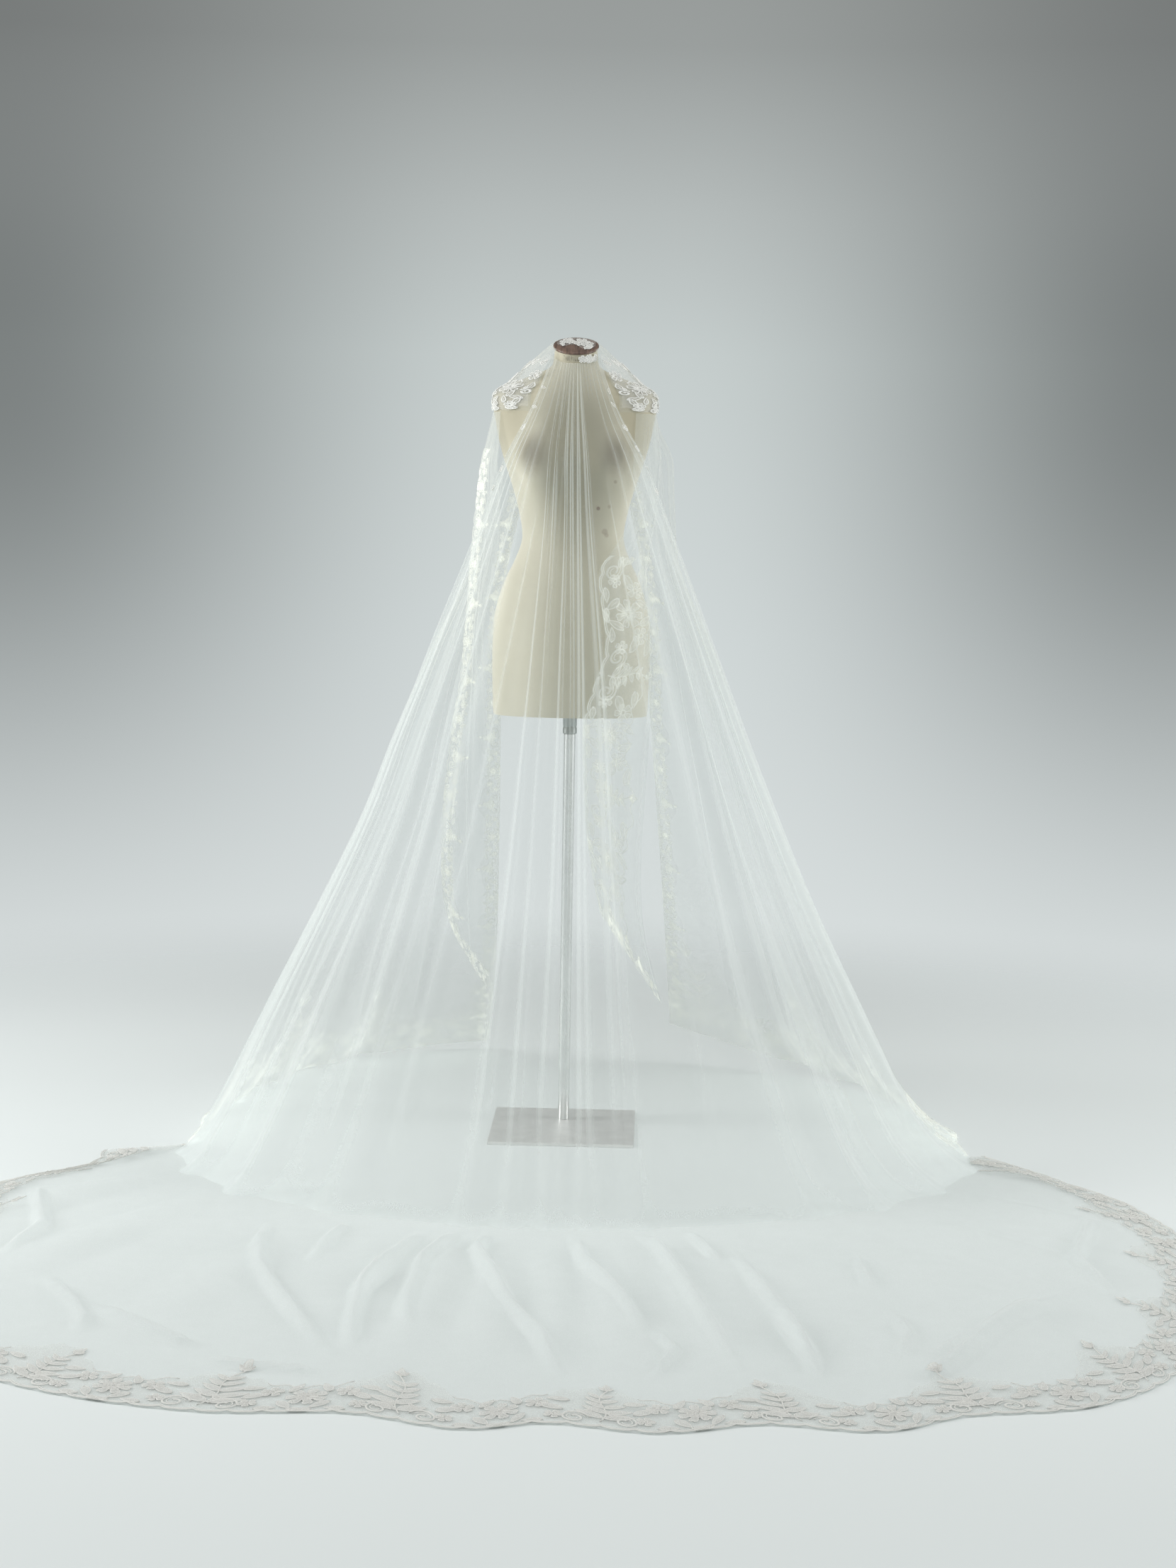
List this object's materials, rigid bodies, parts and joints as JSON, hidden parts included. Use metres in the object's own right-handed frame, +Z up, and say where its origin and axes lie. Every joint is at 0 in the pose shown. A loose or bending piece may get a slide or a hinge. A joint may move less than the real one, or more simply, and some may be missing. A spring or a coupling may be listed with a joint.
{
  "type": "bridal veil on a dress form and stand",
  "caption": "Cathedral-length tulle bridal veil with a corded lace border, draped over a limbless dress form on a pole and square plate, its train spread on the floor.",
  "frame": {"origin": "on the floor at the pole's axis, on the underside of the base plate", "axes": "+Z up, the train runs towards -Y, +X is to the right of someone who looks along +Y"},
  "size_m": [2.255, 2.4832, 1.6494],
  "materials": {
    "tulle": "sheer white tulle net, soft, slightly cool",
    "corded_lace": "white corded lace with satin cord outlines, matt ground",
    "form_jersey": "cream cotton jersey, matt, with a few small brown stains",
    "neck_cap_wood": "dark brown stained wood, satin",
    "stand_steel": "satin brushed steel",
    "socket_steel": "dark greenish grey satin metal"
  },
  "bodies": {
    "root": {"form_neck_cap": "neck_cap_wood", "form_torso": "form_jersey", "lace_back_collar": "corded_lace", "lace_cap": "corded_lace", "lace_left_drape": "corded_lace", "lace_left_edge": "corded_lace", "lace_left_shoulder": "corded_lace", "lace_right_drape": "corded_lace", "lace_right_edge": "corded_lace", "lace_right_shoulder": "corded_lace", "lace_train_hem": "corded_lace", "stand_base": "stand_steel", "stand_pole": "stand_steel", "stand_socket": "socket_steel", "veil_front_fall": "tulle", "veil_gather": "tulle", "veil_left_drape": "tulle", "veil_left_side": "tulle", "veil_mantle": "tulle", "veil_right_drape": "tulle", "veil_right_side": "tulle", "veil_train": "tulle"}
  },
  "joints": []
}
